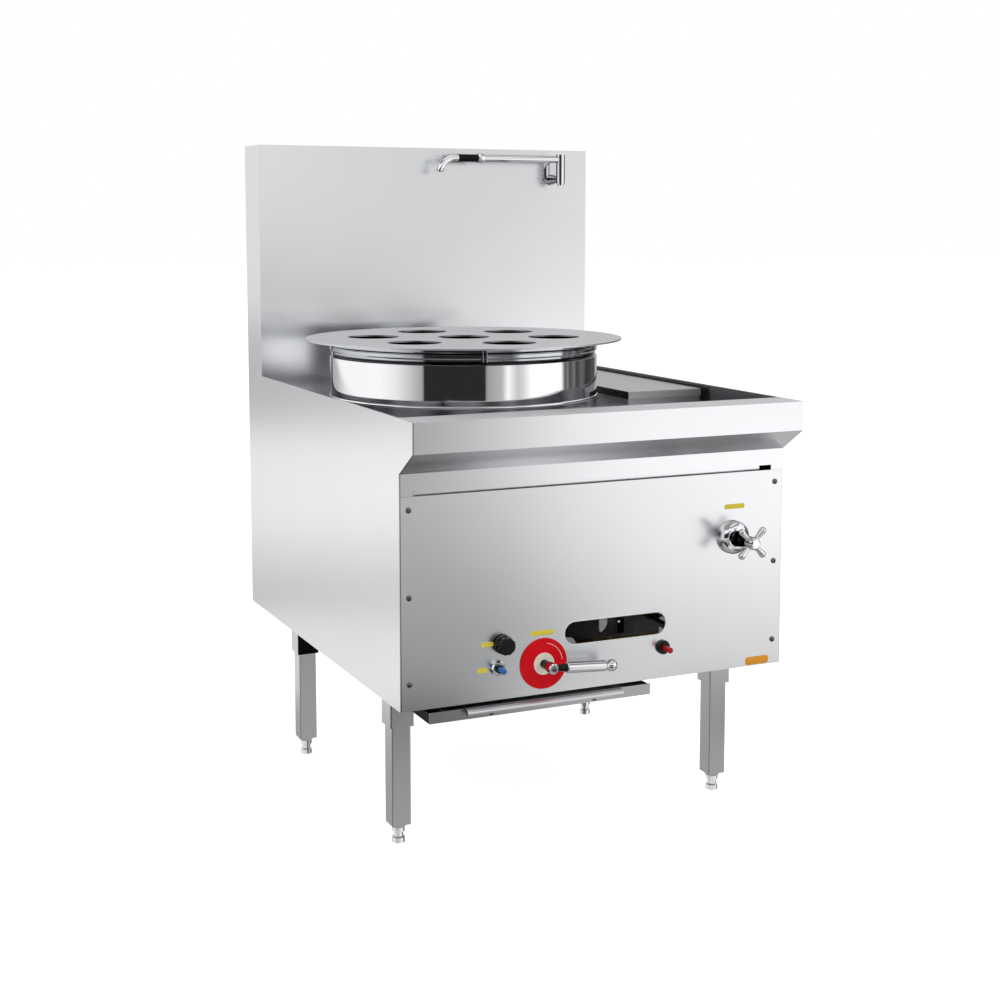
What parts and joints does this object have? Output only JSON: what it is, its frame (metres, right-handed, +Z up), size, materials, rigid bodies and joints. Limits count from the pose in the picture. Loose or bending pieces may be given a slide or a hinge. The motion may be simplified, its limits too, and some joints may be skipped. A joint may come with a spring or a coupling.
{
  "type": "dim sum steamer",
  "caption": "Floor-standing gas steamer bench: water pot with perforated steam plate in a sheet steel cabinet on legs, gas lever, water tap, swing faucet and splashback.",
  "frame": {"origin": "on the floor under the middle of the whole object's box", "axes": "+Z up, front panel faces -Y, splashback at +Y, water tap and float box on the +X side"},
  "size_m": [0.8149, 1.047, 1.33],
  "materials": {
    "brushed_panels": "fine satin grain",
    "folded_frame": "mill finish",
    "leg_steel": "satin",
    "mirror_steel": "mirror polish",
    "plate_steel": "satin",
    "bright_chrome": "bright",
    "screw_steel": "plain",
    "furnace_steel": "heat-darkened",
    "cast_iron": "rough",
    "brass": "machined",
    "copper_pipe": "drawn copper",
    "red_dial": "gloss",
    "cream_dial": "gloss",
    "black_plastic": "matte",
    "black_grip": "matte",
    "blue_plastic": "gloss",
    "red_plastic": "gloss"
  },
  "bodies": {
    "cabinet": {"left_side_panel": "brushed_panels", "right_side_panel": "brushed_panels", "front_rail": "brushed_panels", "slot_baffle": "brushed_panels", "front_panel": "brushed_panels", "panel_screws": "screw_steel", "back_panel": "folded_frame", "base_frame": "folded_frame", "well_deck": "folded_frame", "splashback": "brushed_panels", "splashback_back": "folded_frame", "leg_sleeves": "leg_steel", "leg_front_left": "leg_steel", "leg_front_right": "leg_steel", "leg_rear_left": "leg_steel", "leg_rear_right": "leg_steel", "boiler_pot": "mirror_steel", "float_box": "folded_frame", "float_valve": "brass", "balance_pipe": "folded_frame", "furnace_wall": "furnace_steel", "burner_body": "cast_iron", "burner_jets": "brass", "burner_stand": "cast_iron", "pilot_burner": "brass", "gas_pipe": "brass", "gas_valve": "brass", "burner_pipe": "brass", "dial_plate": "red_dial", "dial_ring": "cream_dial", "pilot_valve": "brass", "igniter_bezel": "bright_chrome", "igniter_guide": "black_plastic", "safety_bezel": "black_plastic", "tap_body": "brass", "tap_flange": "bright_chrome", "water_pipe": "copper_pipe", "fill_pipe": "copper_pipe", "faucet_mount": "bright_chrome", "tray_runners": "folded_frame"},
    "gas_lever": {"valve_stem": "brass", "lever_hub": "bright_chrome", "lever_neck": "black_plastic", "lever_grip": "bright_chrome"},
    "pilot_control": {"pilot_knob": "black_plastic"},
    "igniter_push": {"igniter_button": "blue_plastic"},
    "safety_push": {"safety_button": "red_plastic"},
    "water_tap": {"tap_handle": "bright_chrome"},
    "swing_faucet": {"faucet_arm": "bright_chrome", "faucet_grip": "black_grip"},
    "ring": {"steam_ring": "mirror_steel", "ring_collar": "mirror_steel"},
    "plate": {"perforated_plate": "plate_steel"},
    "box_cover": {"float_box_cover": "brushed_panels"},
    "float": {"float_arm": "copper_pipe"},
    "tray": {"drip_tray": "leg_steel"},
    "levelling_foot_front_left": {"foot_front_left": "bright_chrome"},
    "levelling_foot_front_right": {"foot_front_right": "bright_chrome"},
    "levelling_foot_rear_left": {"foot_rear_left": "bright_chrome"},
    "levelling_foot_rear_right": {"foot_rear_right": "bright_chrome"}
  },
  "joints": [
    {"name": "gas_lever_turn", "type": "hinge", "parent": "cabinet", "child": "gas_lever", "pos_m": [-0.1109, -0.4415, 0.3575], "axis": [0, -1, 0], "range_deg": [0, 90]},
    {"name": "pilot_knob_turn", "type": "hinge", "parent": "cabinet", "child": "pilot_control", "pos_m": [-0.1935, -0.4415, 0.403], "axis": [0, -1, 0], "range_deg": [0, 90]},
    {"name": "igniter_press", "type": "slide", "parent": "cabinet", "child": "igniter_push", "axis": [0, 1, 0], "range_m": [0, 0.004], "stiffness_N_per_m": 500},
    {"name": "safety_press", "type": "slide", "parent": "cabinet", "child": "safety_push", "axis": [0, 1, 0], "range_m": [0, 0.004], "stiffness_N_per_m": 500},
    {"name": "tap_turn", "type": "hinge", "parent": "cabinet", "child": "water_tap", "pos_m": [0.2949, -0.4415, 0.56], "axis": [0, -1, 0], "range_deg": [0, 540]},
    {"name": "faucet_swing", "type": "hinge", "parent": "cabinet", "child": "swing_faucet", "pos_m": [0.3175, 0.3475, 1.307], "axis": [0, 0, 1], "range_deg": [0, 165]},
    {"name": "ring_lift", "type": "slide", "parent": "cabinet", "child": "ring", "axis": [0, 0, 1], "range_m": [0, 0.2]},
    {"name": "plate_lift", "type": "slide", "parent": "ring", "child": "plate", "axis": [0, 0, 1], "range_m": [0, 0.15]},
    {"name": "box_cover_lift", "type": "slide", "parent": "cabinet", "child": "box_cover", "axis": [0, 0, 1], "range_m": [0, 0.1]},
    {"name": "float_rise", "type": "hinge", "parent": "cabinet", "child": "float", "pos_m": [0.2949, -0.1175, 0.761], "axis": [1, 0, 0], "range_deg": [0, 16]},
    {"name": "tray_pull", "type": "slide", "parent": "cabinet", "child": "tray", "axis": [0, -1, 0], "range_m": [0, 0.45]},
    {"name": "levelling_foot_front_left_screw", "type": "slide", "parent": "cabinet", "child": "levelling_foot_front_left", "axis": [0, 0, -1], "range_m": [0, 0.02]},
    {"name": "levelling_foot_front_right_screw", "type": "slide", "parent": "cabinet", "child": "levelling_foot_front_right", "axis": [0, 0, -1], "range_m": [0, 0.02]},
    {"name": "levelling_foot_rear_left_screw", "type": "slide", "parent": "cabinet", "child": "levelling_foot_rear_left", "axis": [0, 0, -1], "range_m": [0, 0.02]},
    {"name": "levelling_foot_rear_right_screw", "type": "slide", "parent": "cabinet", "child": "levelling_foot_rear_right", "axis": [0, 0, -1], "range_m": [0, 0.02]}
  ]
}
